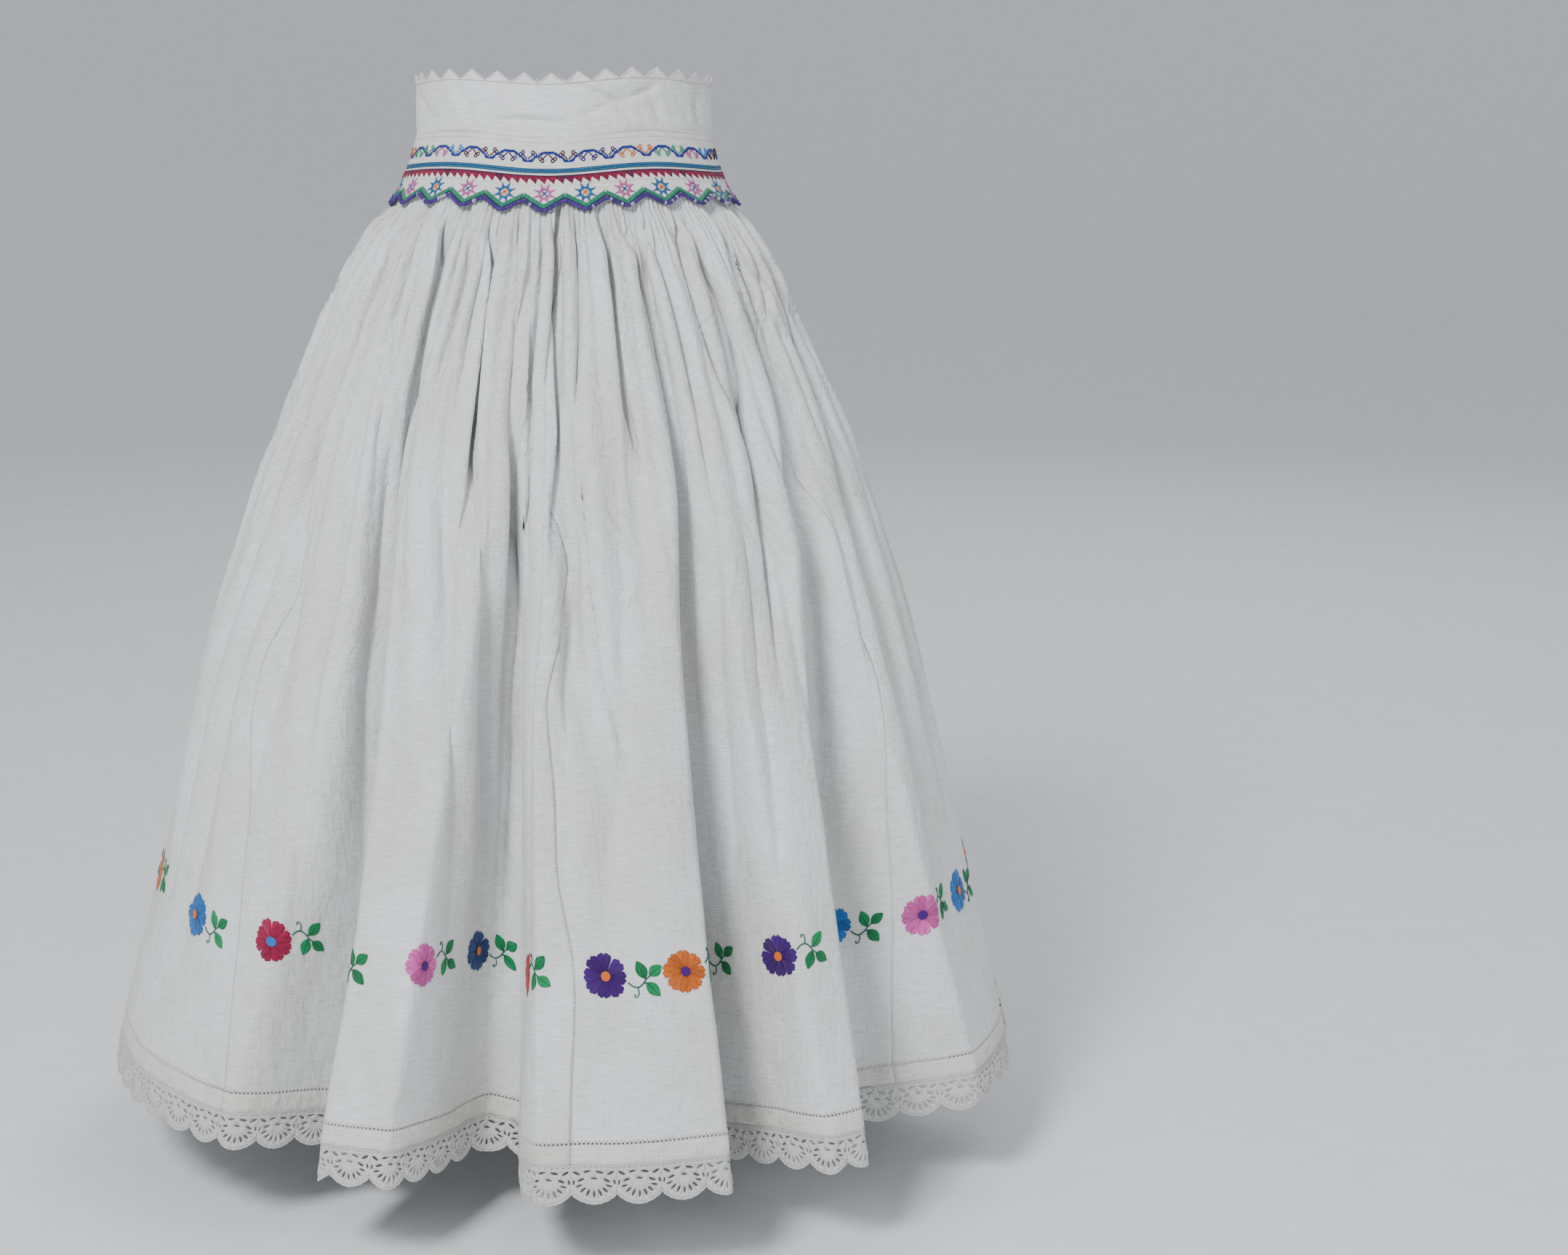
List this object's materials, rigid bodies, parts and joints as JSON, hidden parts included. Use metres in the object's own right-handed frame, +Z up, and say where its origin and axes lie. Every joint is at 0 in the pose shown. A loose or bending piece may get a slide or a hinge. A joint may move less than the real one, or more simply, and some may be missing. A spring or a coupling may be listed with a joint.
{
  "type": "folk skirt",
  "caption": "Long full folk skirt of natural homespun linen gathered onto a fitted embroidered band, with a flower garland above a hemstitched, lace-edged hem.",
  "frame": {"origin": "centre of the waist, where the wearer's waist holds the band, 7 mm below the seam between the plain band and the embroidered band", "axes": "+Z up, the front of the skirt faces -Y, +X to the right as seen from the front"},
  "size_m": [0.7897, 0.7014, 0.8682],
  "materials": {
    "homespun_linen": "matte, slubby plain weave",
    "band_linen": "matte plain weave, worn soft",
    "embroidered_linen": "matte plain weave under cross-stitch",
    "crochet_lace": "matte cotton thread",
    "point_edging": "satin thread over folded cloth",
    "embroidery_thread": "satin stranded cotton",
    "bone_button": "polished bone"
  },
  "bodies": {
    "root": {"top_points": "point_edging", "waistband": "band_linen", "back_flap": "band_linen", "embroidered_band": "embroidered_linen", "zigzag_cord": "embroidery_thread", "skirt_panel_1": "homespun_linen", "lace_1": "crochet_lace", "skirt_panel_2": "homespun_linen", "lace_2": "crochet_lace", "skirt_panel_3": "homespun_linen", "lace_3": "crochet_lace", "skirt_panel_4": "homespun_linen", "lace_4": "crochet_lace", "skirt_panel_5": "homespun_linen", "lace_5": "crochet_lace", "skirt_panel_6": "homespun_linen", "lace_6": "crochet_lace", "button_1": "bone_button", "button_2": "bone_button", "button_3": "bone_button"}
  },
  "joints": []
}
